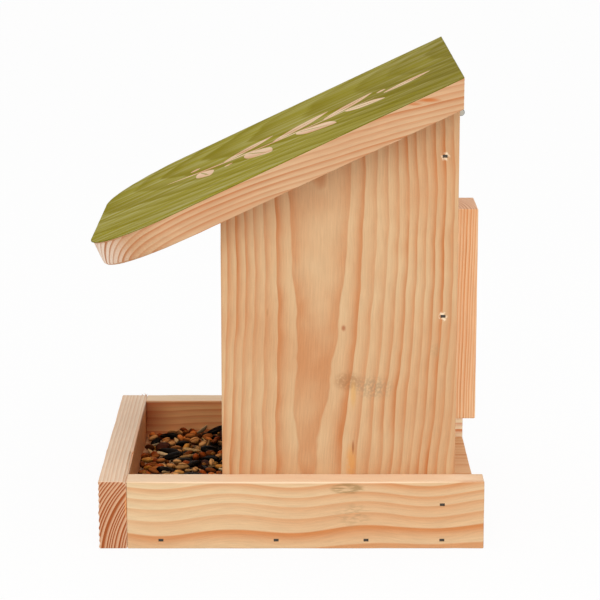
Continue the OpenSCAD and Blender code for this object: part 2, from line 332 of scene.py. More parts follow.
def bareWood(name, marks=(), **changes):
    wood = {**larch, **changes}
    material, tree, shader = newMaterial(name)
    grown = growWood(tree, wood)
    colour = addNode(tree, "Mix", {
        0: grown["late"], 6: linear(wood["pale"]), 7: linear(wood["late"]),
    }, data_type="RGBA")
    colour = layOver(tree, colour, linear(wood["late"]), grown["broad"], (0.3, 0.7), (0, 0.34))
    cut = layOver(tree, linear(wood["endPale"]), linear(wood["endLate"]), grown["late"], (0.15, 0.6), (0, 1),
                  interpolation_type="SMOOTHSTEP")
    colour = addNode(tree, "Mix", {0: grown["end"], 6: colour, 7: cut}, data_type="RGBA")
    shades = (1 - wood["fibre"], 1 + wood["fibre"] / 2)
    colour = vary(tree, colour, grown["fibre"], (0.25, 0.75), shades)
    for mark in marks:
        colour = addMark(tree, grown, colour, mark)
    feed(tree, shader, {"Base Color": colour})
    woodRelief(tree, grown, shader, wood)
    return material


def addMark(tree, grown, colour, mark):
    # a scuff, resin streak, pin knot, painted highlight or painted shadow: a soft ellipse with a broken edge
    place = addNode(tree, "Mapping", {
        "Vector": grown["object"], "Location": [p * mm for p in mark["place"]],
        "Scale": [s * mm for s in mark["size"]],
    }, vector_type="TEXTURE")
    far = addNode(tree, "VectorMath", {0: place}, operation="LENGTH")
    inside = addNode(tree, "MapRange", {
        "Value": far, "From Min": 1.0, "From Max": mark.get("core", 0.2),
    }, interpolation_type="SMOOTHSTEP")
    broken = addNode(tree, "MapRange", {
        "Value": blotches(tree, mark["grit"], 3.0), "From Min": mark.get("low", 0.42),
        "From Max": mark.get("high", 0.6),
    }, interpolation_type="SMOOTHSTEP")
    amount = addNode(tree, "Math", {0: inside, 1: broken}, operation="MULTIPLY")
    amount = addNode(tree, "Math", {0: amount, 1: mark["strength"]}, operation="MULTIPLY")
    return addNode(tree, "Mix", {
        0: amount, 6: colour, 7: linear(mark["colour"]),
    }, data_type="RGBA", blend_type=mark.get("blend", "MIX"))


# Marks on the near side. Grit breaks a mark up, and an unbroken one shows whole.
unbroken = {"grit": 9, "low": 0.0, "high": 0.1}
chip = {"colour": "#F4DDBC", "strength": 0.9, "grit": 1.6, "core": 0.6}
panelMarks = (
    # a brown and a grey scuff
    {"place": (72, 28.4, 83.2), "size": (9, 9, 6), "colour": "#A4754C", "strength": 0.62,
     "grit": 1.5, "core": 0.35, "low": 0.28, "high": 0.56},
    {"place": (72, 41, 80), "size": (9, 13, 8), "colour": "#9A8061", "strength": 0.55,
     "grit": 1.5, "low": 0.36, "high": 0.6},
    # resin streaks, the lower one with a dark core
    {"place": (72, 31, 76.5), "size": (9, 2.2, 10), "colour": "#D9A054", "strength": 0.5,
     "grit": 9, "low": 0.1, "high": 0.3},
    {"place": (72, 30, 41), "size": (9, 3.8, 13), "colour": "#D8964A", "strength": 0.65,
     "grit": 6, "low": 0.2, "high": 0.45},
    {**unbroken, "place": (72, 31, 49), "size": (9, 0.9, 5), "colour": "#95552A", "strength": 0.7},
    # pin knots
    {**unbroken, "place": (72, 26, 110.5), "size": (6, 1.6, 2.2), "colour": "#A8623B", "strength": 0.8},
    {**unbroken, "place": (72, -12, 118.5), "size": (6, 0.7, 3), "colour": "#B07F50", "strength": 0.55},
    # chips round two brads, and a faint scuff under the lower one
    {**chip, "place": (72, 75.5, 197), "size": (6, 2.9, 2.6)},
    {**chip, "place": (72, 75.5, 116.5), "size": (6, 2.6, 2.9)},
    {"place": (72, 72, 99), "size": (6, 4, 5), "colour": "#A98A62", "strength": 0.35,
     "grit": 1.5, "low": 0.3, "high": 0.6},
)
railTopSheenAndScuffs = (
    # a painted highlight along the top, for the light and sheen it catches from above, and two scuffs drawn
    # out along the grain
    {**unbroken, "place": (79, 0, 35), "size": (16, 120, 1.2), "colour": "#FADBB8", "strength": 0.85,
     "grit": 60, "core": 0.7},
    {"place": (86, 28, 31.5), "size": (9, 10, 3.4), "colour": "#957443", "strength": 0.68,
     "grit": (2, 6, 0.8), "core": 0.6, "low": 0.34, "high": 0.6},
    {"place": (86, 31, 18), "size": (9, 12, 9), "colour": "#A98A62", "strength": 0.45, "grit": (2, 4, 0.9)},
)
# the front board's inner face, lightened and warmed: painted light on a face that lies in shade
frontInnerPaintedLight = (
    {"place": (0, -82.5, 22), "size": (110, 2.0, 16), "colour": "#EE9A50", "strength": 0.8,
     "grit": 30, "core": 0.7, "low": 0.0, "high": 0.2},
)
# the far rail: a painted highlight along its top, painted warm bounce shade that tints its inner face
# orange, and a painted shadow at its front corner, where the front board shades it
farRailPaintedLightAndShade = (
    {**unbroken, "place": (-79, 0, 35), "size": (16, 120, 1.6), "colour": "#F3D6B2", "strength": 0.8,
     "grit": 60, "core": 0.7},
    # painted warm bounce shade: the inner face tinted orange
    {**unbroken, "place": (-72, -55, 16), "size": (3, 90, 24), "colour": "#FFC07A", "strength": 0.8,
     "grit": 40, "core": 0.7, "blend": "MULTIPLY"},
    # painted shadow of the front board on the inner face's front corner
    {**unbroken, "place": (-72, -86, 26), "size": (3, 24, 18), "colour": "#A8622A", "strength": 0.75,
     "grit": 40, "core": 0.1, "blend": "MULTIPLY"},
)
# the near panel's and the near rail's cuts are fitted to the bands that the photo shows
woods = {
    "sidePanelRight": bareWood(
        "larchSideRight", panelMarks, pith=(37.56, 7.64, 94), turn=(-0.92, 1.48, 0), years=3.642,
        uneven=0.0, phase=0.021, taper=0.018, lean=(-0.018, 0.072), wander=1.32, wanderAcross=22.5,
        wanderAlong=27.8, bow=(0.12, -2.62), bowLength=306.6, bowStart=0.66, band=0.45, weakest=0.45,
        pale="#D6B287", late="#C17843", seed=34.797),
    "sidePanelLeft": bareWood(
        "larchSideLeft", pith=(-36, 32, 100), turn=(-2, 0, 0), years=4.0, uneven=0.4, lean=(0, -0.12),
        wander=2.2, bow=(3, 0), band=0.5, seed=8.4),
    "backPanel": bareWood("larchBack", pith=(12, 30, 0), years=4.2, wander=3.0, bow=(0, 4), seed=5.7),
    "wallBatten": bareWood(
        "larchBatten", turn=(-1.2, 0, 0), pith=(20, 10, 120), years=1.5, uneven=0.6, wander=1.2,
        wanderAlong=60, weakest=0.5, pale="#FAD9AE", late="#D98544", endPale="#EDC4A1", endLate="#CB946D",
        seed=1.3),
    "frontBoard": bareWood(
        "larchFront", frontInnerPaintedLight, turn=grainTurn["X"], pith=(0, -40, -6), years=1.6, uneven=1.1,
        wander=1.6, weakest=0.7, pale="#FDE9D2", late="#E3B387", endPale="#D6A681", endLate="#A0501E",
        band=0.62, seed=2.2),
    "railRight": bareWood(
        "larchRailRight", railTopSheenAndScuffs, turn=(-88.44, 0, -0.38), pith=(52.08, 0, -13.15), years=4.022,
        uneven=0.573, phase=0.219, taper=0.156, wander=3.2, wanderAcross=44.8, wanderAlong=153.3,
        bow=(0.5, 2.0), bowLength=67.2, bowStart=-1.9, band=0.46, edge=0.92, weakest=0.4,
        pale="#E3C79D", late="#CC7E42", seed=16.577),
    # the far rail's wood is drawn paler and more orange than the other boards', painted light for its shaded
    # inner face
    "railLeft": bareWood(
        "larchRailLeft", farRailPaintedLightAndShade, turn=grainTurn["Y"], pith=(-50, 0, -6), years=3.2, uneven=0.8,
        wander=2.8, wanderAlong=80, weakest=0.45, band=0.42, pale="#FFF3D2", late="#D87428", seed=9.2),
    "floorBoard": bareWood(
        "larchFloor", turn=grainTurn["Y"], pith=(10, 0, -40), years=4.0, wander=2.5, seed=4.8),
}
print("bare wood mixed,", len(woods), "boards")

# Boards: merged copies of the CAD solids with eased, slightly worn arrises
boards = {
    "frontBoard": {
        "node": "front_board", "slot": "pine_pale", "arris": 0.5,
        "ridges": {"height": 0.52, "pitch": 3.4, "step": 0.7, "sway": 1.6, "swayAcross": 45, "swayUp": 14,
                   "grit": 2.3},
        "torn": {"from": 28, "depth": 0.8, "strip": 2.0, "reach": 1.2},
        "splinters": (  # place, direction, length, width, curl
            ((-84.6, -83.4, 35.4), (0.2, -0.5, 1), 2.6, 0.8, 0.4),
            ((-82.8, -82.9, 35.3), (0.1, 0.5, 1), 2.2, 0.7, -0.4),
            ((-85.2, -85.2, 35.2), (0.1, -0.7, 0.8), 2.0, 0.6, 0.3),
            ((30.5, -82.7, 34.6), (-0.9, 0.2, 0.5), 2.4, 0.7, 0.3)),
    },
    "railLeft": {"node": "rail_left", "slot": "pine", "arris": 0.5},
    "railRight": {"node": "rail_right", "slot": "pine", "arris": 0.5},
    "floorBoard": {"node": "floor_board", "slot": "pine", "arris": 0.4},
    "sidePanelLeft": {"node": "side_panel_left", "slot": "pine", "arris": 0.5},
    "sidePanelRight": {"node": "side_panel_right", "slot": "pine", "arris": 0.5},
    "backPanel": {"node": "back_panel", "slot": "pine", "arris": 0.4},
    "wallBatten": {"node": "wall_batten", "slot": "pine_pale", "arris": 0.6},
}
wear = {"step": 7.0, "depth": 0.16, "patch": 9.0}  # millimetres


def cutAcross(bm, point, normal, near=1e-7, **keep):
    bmesh.ops.bisect_plane(bm, geom=bm.verts[:] + bm.edges[:] + bm.faces[:], dist=near,
                           plane_co=point, plane_no=normal, **keep)


def cutEvenly(bm, axis, low, high, step, unit=mm, near=1e-7):
    # slices square to an axis, which give wear and ridges points to move
    cuts = int((high - low) / unit / step)
    for i in range(1, cuts):
        point, normal = Vector((0, 0, 0)), Vector((0, 0, 0))
        point[axis] = low + (high - low) * i / cuts
        normal[axis] = 1
        cutAcross(bm, point, normal, near)


def easeEdges(bm, edges, offset, segments):
    bmesh.ops.bevel(bm, geom=edges, offset=offset, segments=segments, profile=0.5,
                    affect="EDGES", material=-1)


def mergedCopy(node):
    bm = bmesh.new()
    bm.from_mesh(nodes[node].data)
    bmesh.ops.remove_doubles(bm, verts=bm.verts, dist=1e-6)
    bmesh.ops.dissolve_limit(bm, angle_limit=math.radians(1), verts=bm.verts, edges=bm.edges)
    return bm


def addSplinters(bm, splinters, unit, finish=0):
    # slivers lifted off an arris
    for place, towards, length, width, curl in splinters:
        sliver = bmesh.new()
        bmesh.ops.create_cone(sliver, cap_ends=True, segments=4, radius1=width / 2, radius2=width / 20,
                              depth=length)
        sides = [e for e in sliver.edges if e.calc_length() > 0.7 * length]
        bmesh.ops.subdivide_edges(sliver, edges=sides, cuts=3)
        for vert in sliver.verts:
            vert.co.x += curl * (vert.co.z / length + 0.5) ** 2
        for face in sliver.faces:
            face.material_index = finish
        turn = Vector((0, 0, 1)).rotation_difference(Vector(towards)).to_matrix().to_4x4()
        bmesh.ops.transform(sliver, matrix=Matrix.Scale(unit, 4) @ Matrix.Translation(place) @ turn,
                            verts=sliver.verts)
        mesh = bpy.data.meshes.new("sliver")
        sliver.to_mesh(mesh)
        sliver.free()
        bm.from_mesh(mesh)
        bpy.data.meshes.remove(mesh)


def easeArrises(bm, arris):
    # eases the edges between outer faces, and returns the planes those faces lie in
    bm.normal_update()
    outer = []  # faces that the whole board lies behind
    for face in bm.faces:
        point, normal = face.verts[0].co.copy(), face.normal.copy()
        if max((v.co - point).dot(normal) for v in bm.verts) < 1e-6:
            outer.append((face, point, normal))
    outside = {face for face, point, normal in outer}
    arrises = [e for e in bm.edges
               if all(f in outside for f in e.link_faces) and e.calc_face_angle(0) > math.radians(15)]
    planes = []
    for face, point, normal in outer:
        if all(normal.dot(other) < 0.999 for spot, other in planes):
            planes.append((point, normal))
    easeEdges(bm, arrises, arris * mm, 2)
    return planes


def weatherFront(bm, ridges, arris, low, high):
    # the front face, weathered until its late wood stands proud in wavy ridges
    cutEvenly(bm, 2, low.z, high.z, ridges["step"])
    for vert in bm.verts:
        if vert.co.y < low.y + arris * mm:
            spot = vert.co / mm
            sway = noise.noise(Vector((spot.x / ridges["swayAcross"], 0, spot.z / ridges["swayUp"])))
            wave = spot.z + ridges["sway"] * sway
            ridge = math.sin(2 * math.pi * wave / ridges["pitch"]) + noise.noise(spot / ridges["grit"])
            vert.co.y -= ridges["height"] / 2 * ridge * mm


def wearArrises(bm, board, planes, high):
    torn = board.get("torn")
    if torn:  # the top inner edge, from a place onwards
        start, strip = torn["from"] * mm, torn["strip"] * mm
        cutAcross(bm, (0, high.y - strip, 0), (0, 1, 0))
        cutAcross(bm, (0, 0, high.z - strip), (0, 0, 1))
        cutAcross(bm, (start, 0, 0), (1, 0, 0))
        cutAcross(bm, (start + strip, 0, 0), (1, 0, 0))
    for vert in bm.verts:
        near = [n for p, n in planes if (vert.co - p).dot(n) > -board["arris"] * 1.05 * mm]
        if len(near) < 2:
            continue
        ragged = noise.noise(vert.co / (wear["patch"] * mm))
        worn = abs(ragged) * wear["depth"] * mm
        if torn and vert.co.x > start + strip / 2:
            if min(vert.co.y - high.y, vert.co.z - high.z) > -torn["reach"] * mm:
                worn += torn["depth"] * (0.8 + ragged) * mm
        for normal in near:
            vert.co -= normal * worn


for name, board in boards.items():
    bm = mergedCopy(board["node"])
    planes = easeArrises(bm, board["arris"])
    low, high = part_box(board["node"])
    for axis in range(3):
        cutEvenly(bm, axis, low[axis], high[axis], wear["step"])
    if "ridges" in board:
        weatherFront(bm, board["ridges"], board["arris"], low, high)
    wearArrises(bm, board, planes, high)
    addSplinters(bm, board.get("splinters", ()), mm)
    piece = newPiece(name, bm, [woods[name]])
    standFor(piece, "house", board)
print("boards cut")

# Roof: one stained board, rounded at its front corners and cut plumb at the back.
# It is shaped lying flat, in millimetres from the middle of its back top edge.
roof = {
    "node": "roof_board",
    "slot": "green_stain",
    "backTop": (0, 83.0, 238.52),  # where that edge lies, over the hinges
    "pitch": 25.3,
    "width": 188.0,
    "length": 203.5,
    "thick": 14.0,
    "corner": 45.0,
    "arris": 0.35,
    "spare": 20.0,  # length sawn off plumb at the back
    "roundOver": 2.0,  # sanded away under the front edge
    "proud": 0.9,  # how far the top stands out over the sanded front
    "lip": 1.0,  # how thick it is there
    "sandedBack": 60.1,  # how far back from the front end it is sanded
    "sandedFade": 40.0,
    "slicesUnder": (4.8, 1.0),  # depth that is cut into thin slices, and their thickness
    "slicesOver": (2.4, 1.2),
    "splinters": (((93.7, -43.4, -13.8), (0.06, 1, -0.06), 8.0, 1.1, 0.5),),
}
# the grain dives a little through the board, and fans out round its front corners
roofWood = {
    "turn": (roof["pitch"] - 95.5, 0, 2.5), "pith": (112, 0, 135), "years": 2.8, "uneven": 0.8,
    "wander": 2.6, "wanderAlong": 70, "bow": (0.0, 7.6), "bowLength": 400, "bowStart": 1.46,
    "weakest": 0.52, "pale": "#D2AB83", "late": "#B86D3A", "endPale": "#F8E2CD", "endLate": "#B97346",
    "seed": 7.7,
}
# a resin pocket under the stain, near the back
resin = {"colour": "#BE6420", "grit": 8, "low": 0.1, "high": 0.4}
roofMarks = (
    {**resin, "place": (94, 66.0, 227.6), "size": (4, 7.5, 1.5), "strength": 0.8},
    {**resin, "place": (94, 59, 225.6), "size": (4, 5, 1.0), "strength": 0.6},
)
woods["roofSides"] = bareWood("larchRoof", roofMarks, **roofWood)
# on top the log's years are cut at a slant, and show as arches that open to the back
topWood = {
    **roofWood, "turn": (roof["pitch"] - 85, 0, -9), "pith": (-43, 306.9, -319.3), "years": 2.4,
    "uneven": 1.0, "wander": 1.5, "wanderAcross": 34, "wanderAlong": 90, "bow": (0, 0), "band": 0.5,
    "edge": 0.88, "weakest": 0.55,
}
woods["roofMotif"] = bareWood("larchMotif", **{**topWood, "pale": "#EBCDAA", "late": "#D29A6E"})

# Green wood stain, brushed on thin: olive, with the grain showing through as greyer pale
# streaks, and darker where it gathers along the board's edge
stain = {
    "late": "#857904",
    "pale": "#988E20",
    "streak": "#B0A76E",
    "streakAcross": 4.2,
    "streakAlong": 110.0,
    "edgeLate": "#6A680F",
    "edgePale": "#787226",
    "specks": 0.55,  # millimetres between brush specks, drawn a little coarse to show
    "surface": {"relief": 0.1, "rough": 0.6, "gloss": 0.01},
}
# darker towards the back
stainMarks = (
    {"place": (20, 110, 250), "size": (170, 130, 110), "colour": "#E2DFD6", "strength": 1.0,
     "grit": 40, "core": 0.3, "low": 0.2, "high": 0.5, "blend": "MULTIPLY"},
)


def greenStain(name, pale, late, streak):
    material, tree, shader = newMaterial(name)
    wood = {**larch, **topWood, **stain["surface"]}
    grown = growWood(tree, wood)
    soaked = addNode(tree, "MapRange", {
        "Value": grown["broad"], "To Min": -0.35, "To Max": 0.75,
    }, clamp=False)
    thin = addNode(tree, "MapRange", {
        "Value": grown["fibre"], "From Min": 0.3, "From Max": 0.7, "To Min": 0.3, "To Max": -0.3,
    }, clamp=False)
    thick = addNode(tree, "Math", {0: soaked, 1: thin}, operation="ADD")
    thick = addNode(tree, "Math", {
        0: grown["late"], 1: 1.1, 2: thick,
    }, operation="MULTIPLY_ADD", use_clamp=True)
    colour = addNode(tree, "Mix", {0: thick, 6: linear(pale), 7: linear(late)}, data_type="RGBA")
    drawn = addNode(tree, "VectorMath", {
        0: grown["bowed"],
        1: (1 / stain["streakAcross"], 1 / stain["streakAlong"], 1 / stain["streakAlong"]),
    }, operation="MULTIPLY")
    brushed = addNode(tree, "TexNoise", {"Vector": drawn, "Scale": 1.0, "Detail": 3.0, "Roughness": 0.55})
    bare = addNode(tree, "MapRange", {
        "Value": brushed, "From Min": 0.4, "From Max": 0.68, "To Min": 0.0, "To Max": 0.85,
    })
    early = addNode(tree, "Math", {0: 1.0, 1: grown["late"]}, operation="SUBTRACT")
    bare = addNode(tree, "Math", {0: bare, 1: early}, operation="MULTIPLY")
    colour = addNode(tree, "Mix", {0: bare, 6: colour, 7: linear(streak)}, data_type="RGBA")
    colour = vary(tree, colour, blotches(tree, stain["specks"], 2.0), (0.3, 0.7), (0.93, 1.06))
    for mark in stainMarks:
        colour = addMark(tree, grown, colour, mark)
    feed(tree, shader, {"Base Color": colour})
    woodRelief(tree, grown, shader, wood)
    return material


stainTop = greenStain("greenStain", stain["pale"], stain["late"], stain["streak"])
stainEdge = greenStain("greenStainEdge", stain["edgePale"], stain["edgeLate"], stain["edgePale"])

# Sprig left bare in the stain: a curved stem, leaves with a stained midrib, and round buds.
# Places are on the roof's top, across and down from the middle of the back edge.
sprig = {
    "stem": {"middle": (2, -104), "length": 126, "width": 2.6, "swell": 1.15, "taper": 0.35, "turn": -16,
             "bend": 9},
    "leaf": {"length": 33, "width": 12.5, "gap": 2.2, "midrib": 1.0, "ribGap": 1.5, "ribShare": 0.8,
             "tip": 0.55, "tipCurve": 1.5, "heel": 0.25},
    "leaves": (  # place along the stem from -1 to 1, side, angle from the stem, scale
        (-0.66, 1, 48, 0.8), (-0.44, -1, 50, 0.95), (-0.2, 1, 46, 1.05), (0.04, -1, 46, 1.1),
        (0.27, 1, 42, 1.1), (0.5, -1, 40, 1.0), (0.7, 1, 36, 0.85), (1.02, -1, 4, 0.8)),
    "buds": (  # place along the stem, side, distance, radius
        (-0.8, -1, 10, 2.9), (-0.28, 1, 13, 2.4), (1.04, -1, 11, 2.6)),
    "points": {"stem": 64, "leaf": 28, "midrib": 10, "bud": 18},
}


def stemPoint(along):
    # a place on the stem's middle line and its direction there
    stem = sprig["stem"]
    turn = Matrix.Rotation(math.radians(stem["turn"]), 2)
    half = stem["length"] / 2
    point = turn @ Vector((stem["bend"] * (1 - along ** 2), along * half)) + Vector(stem["middle"])
    lean = math.atan2(-2 * stem["bend"] * along, half)
    return point, math.radians(stem["turn"]) - lean


def outline(bm, count, shape):
    ring = bmesh.ops.create_circle(bm, cap_ends=False, segments=count, radius=1)["verts"]
    for vert in ring:
        vert.co = shape(vert.co.x, vert.co.y)
    return list(dict.fromkeys(e for v in ring for e in v.link_edges))


def leafShape(base, turn, length, width):
    spin = Matrix.Rotation(turn, 2)
    leaf = sprig["leaf"]

    def shape(across, along):
        narrow = 1 - leaf["tip"] * max(along, 0) ** leaf["tipCurve"]
        narrow *= 1 - leaf["heel"] * max(-along, 0)
        flat = spin @ Vector((across * narrow * width / 2, (along + 1) * length / 2)) + base
        return Vector((flat.x, flat.y, 0))
    return shape


def stemShape(across, along):
    stem = sprig["stem"]
    point, turn = stemPoint(along)
    side = Matrix.Rotation(turn, 2) @ Vector((1, 0))
    flat = point + side * across * stem["width"] / 2 * (stem["swell"] - stem["taper"] * along)
    return Vector((flat.x, flat.y, 0))


roofFinish = {"sides": 0, "stain": 1, "edge": 2, "bare": 3}


def roofBlank():
    bm = bmesh.new()
    bmesh.ops.create_cube(bm, size=1, matrix=(
        Matrix.Translation((0, roof["spare"] / 2 - roof["length"] / 2, -roof["thick"] / 2))
        @ Matrix.Diagonal((roof["width"], roof["length"] + roof["spare"], roof["thick"], 1))))
    corners = [e for e in bm.edges if all(v.co.y < 1 - roof["length"] for v in e.verts)
               and abs(e.verts[0].co.z - e.verts[1].co.z) > 1]
    easeEdges(bm, corners, roof["corner"], 40)
    pitch = math.radians(roof["pitch"])
    cutAcross(bm, (0, 0, 0), (0, math.cos(pitch), -math.sin(pitch)), 1e-5, clear_outer=True)
    bmesh.ops.holes_fill(bm, edges=[e for e in bm.edges if e.is_boundary])
    bm.normal_update()
    sharp = [e for e in bm.edges if e.calc_face_angle(0) > math.radians(30)]
    easeEdges(bm, sharp, roof["arris"], 2)
    under, underStep = roof["slicesUnder"]
    over, overStep = roof["slicesOver"]
    for axis, low, high, step in ((0, -roof["width"] / 2, roof["width"] / 2, wear["step"]),
                                  (1, -roof["length"], 0, wear["step"]),
                                  (2, -roof["thick"], under - roof["thick"], underStep),
                                  (2, -over, 0, overStep)):
        cutEvenly(bm, axis, low, high, step, 1, 1e-5)
    bm.normal_update()
    return bm


def wearRoof(bm):
    # the stain's edge and the arrises are worn, and the top stays flat
    top = [f for f in bm.faces if f.normal.z > 0.999]
    for face in bm.faces:
        if 0.3 < face.normal.z <= 0.999:
            face.material_index = roofFinish["edge"]
    worn = {v for f in bm.faces if not any(abs(c) > 0.98 for c in f.normal) and abs(f.normal.z) > 0.3
            for v in f.verts}
    for vert in worn:
        vert.co -= vert.normal * abs(noise.noise(vert.co / wear["patch"])) * wear["depth"]
    for face in top:
        for vert in face.verts:
            if vert not in worn:
                vert.co.z = 0
    return top


def sandFront(bm):
    # the front and its corners set back under the top, and rounded over below
    bottom = [f for f in bm.faces if f.normal.z < -0.999]
    bmesh.ops.delete(bm, geom=bottom, context="FACES")
    under = [e for e in bm.edges if e.is_boundary]
    soften = roof["roundOver"]
    straight = roof["width"] / 2 - roof["corner"]  # half of the front between its corners
    start = roof["sandedBack"] - roof["length"]
    for vert in bm.verts:
        left = max(soften - (vert.co.z + roof["thick"]), 0)  # height still to round over
        sanded = roof["proud"] if vert.co.z < -roof["lip"] else 0
        front = min(max((start - vert.co.y) / roof["sandedFade"], 0), 1)
        if front and (left or sanded):
            core = Vector((max(-1, min(1, vert.co.x / straight)) * straight,
                           max(vert.co.y, roof["corner"] - roof["length"])))
            away = (vert.co.xy - core).normalized()
            inward = sanded + soften - math.sqrt(soften ** 2 - left ** 2)
            inward *= front * front * (3 - 2 * front)
            vert.co.x -= away.x * inward
            vert.co.y -= away.y * inward
    bmesh.ops.triangle_fill(bm, use_beauty=True, edges=under, normal=(0, 0, -1))


def fillTop(bm, edges, finish):
    for face in bmesh.ops.triangle_fill(bm, use_beauty=True, edges=edges, normal=(0, 0, 1))["geom"]:
        if isinstance(face, bmesh.types.BMFace):
            face.material_index = roofFinish[finish]


def laySprig(bm):
    # the stained top filled in round the sprig, then the bare sprig itself
    loops = [e for e in bm.edges if e.is_boundary]
    leaf, points = sprig["leaf"], sprig["points"]
    islands = [(outline(bm, points["stem"], stemShape), [])]
    for along, side, angle, scale in sprig["leaves"]:
        point, turn = stemPoint(along)
        turn -= side * math.radians(angle)
        ahead = Matrix.Rotation(turn, 2) @ Vector((0, 1))
        length = leaf["length"] * scale
        base = point + ahead * leaf["gap"]
        blade = outline(bm, points["leaf"], leafShape(base, turn, length, leaf["width"] * scale))
        base += ahead * leaf["ribGap"] * scale
        rib = outline(bm, points["midrib"],
                      leafShape(base, turn, length * leaf["ribShare"], leaf["midrib"]))
        islands.append((blade, rib))
    for along, side, far, radius in sprig["buds"]:
        point, turn = stemPoint(along)
        base = point + Matrix.Rotation(turn, 2) @ Vector((side * far, -radius))
        islands.append((outline(bm, points["bud"], leafShape(base, 0, radius * 2, radius * 2)), []))
    for blade, rib in islands:
        loops += blade
    fillTop(bm, loops, "stain")
    for blade, rib in islands:
        fillTop(bm, blade + rib, "bare")
        if rib:
            fillTop(bm, rib, "stain")


bm = roofBlank()
top = wearRoof(bm)
sandFront(bm)
bmesh.ops.delete(bm, geom=top, context="FACES")
laySprig(bm)
bmesh.ops.recalc_face_normals(bm, faces=bm.faces)
addSplinters(bm, roof["splinters"], 1, finish=roofFinish["bare"])
place = Matrix.Translation(Vector(roof["backTop"])) @ Matrix.Rotation(math.radians(roof["pitch"]), 4, "X")
bmesh.ops.transform(bm, matrix=Matrix.Scale(mm, 4) @ place, verts=bm.verts)
roofPiece = newPiece("roofBoard", bm, [woods["roofSides"], stainTop, stainEdge, woods["roofMotif"]])
standFor(roofPiece, "roof", roof)
print("roof stained")

# Zinc-plated steel, pressed: soft grey gloss, mottled by the plating's crystals; the screws
# are brighter than the leaves
zinc = {
    "leaf": {"bright": "#939594", "dull": "#5F605B", "spangle": 1.4},
    "screw": {"bright": "#D2D0C4", "dull": "#A5A296", "spangle": 0.6},
}
plated = {}
for part, plate in zinc.items():
    material, tree, shader = newMaterial(part + "Zinc")
    mottle = blotches(tree, plate["spangle"], 3.0)
    colour = addNode(tree, "Mix", {
        0: mottle, 6: linear(plate["dull"]), 7: linear(plate["bright"]),
    }, data_type="RGBA")
    rough = addNode(tree, "MapRange", {"Value": mottle, "To Min": 0.5, "To Max": 0.28})
    bump = addNode(tree, "Bump", {"Height": mottle, "Strength": 0.2, "Distance": 0.03 * mm})
    feed(tree, shader, {"Base Color": colour, "Roughness": rough, "Normal": bump, "Metallic": 1.0})
    plated[part] = material

# Bright steel gone dark: brad heads sunk in the wood, brown-black with duller rust flecks
brad = {"dark": "#45413A", "rust": "#6A5642", "fleck": 0.7}
darkSteel, tree, shader = newMaterial("darkSteel")
rust = blotches(tree, brad["fleck"], 3.0)
amount = addNode(tree, "MapRange", {"Value": rust, "From Min": 0.5, "From Max": 0.7})
colour = addNode(tree, "Mix", {
    0: amount, 6: linear(brad["dark"]), 7: linear(brad["rust"]),
}, data_type="RGBA")
rough = addNode(tree, "MapRange", {"Value": amount, "To Min": 0.4, "To Max": 0.75})
feed(tree, shader, {"Base Color": colour, "Roughness": rough, "Metallic": 0.6})

# Cast acrylic sheet: clear and glossy, with faint handling haze
acrylic = {"tint": "#F6FAF8", "haze": 30.0, "hazeRough": 0.05, "ior": 1.49}
acrylicSheet, tree, shader = newMaterial("acrylicSheet")
haze = blotches(tree, acrylic["haze"], 4.0)
rough = addNode(tree, "MapRange", {
    "Value": haze, "From Min": 0.4, "From Max": 0.8, "To Min": 0.0, "To Max": acrylic["hazeRough"],
})
feed(tree, shader, {
    "Base Color": linear(acrylic["tint"]), "Roughness": rough, "Transmission Weight": 1.0,
    "IOR": acrylic["ior"],
})
path = addNode(tree, "LightPath")
clear = addNode(tree, "BsdfTransparent", {"Color": linear(acrylic["tint"])})
passing = addNode(tree, "MixShader", {0: path.outputs["Is Shadow Ray"], 1: shader, 2: clear})
feed(tree, tree.nodes["Material Output"], {"Surface": passing})

# the sheet's sawn edges are flamed smooth
pane = {"node": "window_pane", "slot": "acrylic", "edge": 0.35}
bm = mergedCopy(pane["node"])
easeEdges(bm, bm.edges[:], pane["edge"] * mm, 3)
piece = newPiece("windowPane", bm, [acrylicSheet])
standFor(piece, "house", pane)

finishes = {"front_brads": darkSteel, "floor_brads": darkSteel, "batten_screws": plated["screw"]}
for side in ("left", "right"):
    finishes["rail_brads_" + side] = finishes["panel_brads_" + side] = darkSteel
    finishes["hinge_pin_" + side] = plated["screw"]
    for part in ("wall", "roof"):
        finishes[f"hinge_{part}_leaf_{side}"] = plated["leaf"]
        finishes[f"hinge_{part}_screws_{side}"] = plated["screw"]
for node, finish in finishes.items():
    nodes[node].data.materials.clear()
    nodes[node].data.materials.append(finish)
print("hardware finished,", len(finishes), "nodes")

# Seed mix lying in the tray and running back under the window, dropped seed by seed.
# Lengths are in millimetres.
seedMix = {
    "node": "seed_mix",
    "slot": "seed",
    "tray": (71.6, -82.2, -35.4),  # half width, front, back
    "hopper": (57.6, -35.4, 68.2),
    "floor": 14.0,
    "wall": 90.0,  # stands for the sides, which no seed lies on
    "frontTop": 17.2,  # how high the seed lies at the tray's front
    "backTop": 21.0,  # and from the window back
    "cell": 0.7,  # of the grid that seeds are dropped on
    "margin": 2.0,  # of the grid round the seed
    "count": 3200,  # seeds poured, of which those that would heap up too high are taken off
    "tries": 7,  # places that each seed may roll to
    "draw": 11,  # start of the random draws
    "settle": 0.25,  # how far seeds sink into each other
    "heap": 0.6,  # how far one may stand over the top
    "crown": 0.6,  # share of a seed's half thickness that counts there
    "steepest": 0.45,  # slope that a seed lies on
    "follow": 0.8,  # how far a seed tips with the slope under it
    "yaw": 0.8,  # spread of the seeds' turns, in radians
    "roll": 0.5,
    "tip": 0.2,
    "spread": 0.09,  # of their sizes
    "sizes": (0.75, 1.25),  # smallest and largest
}
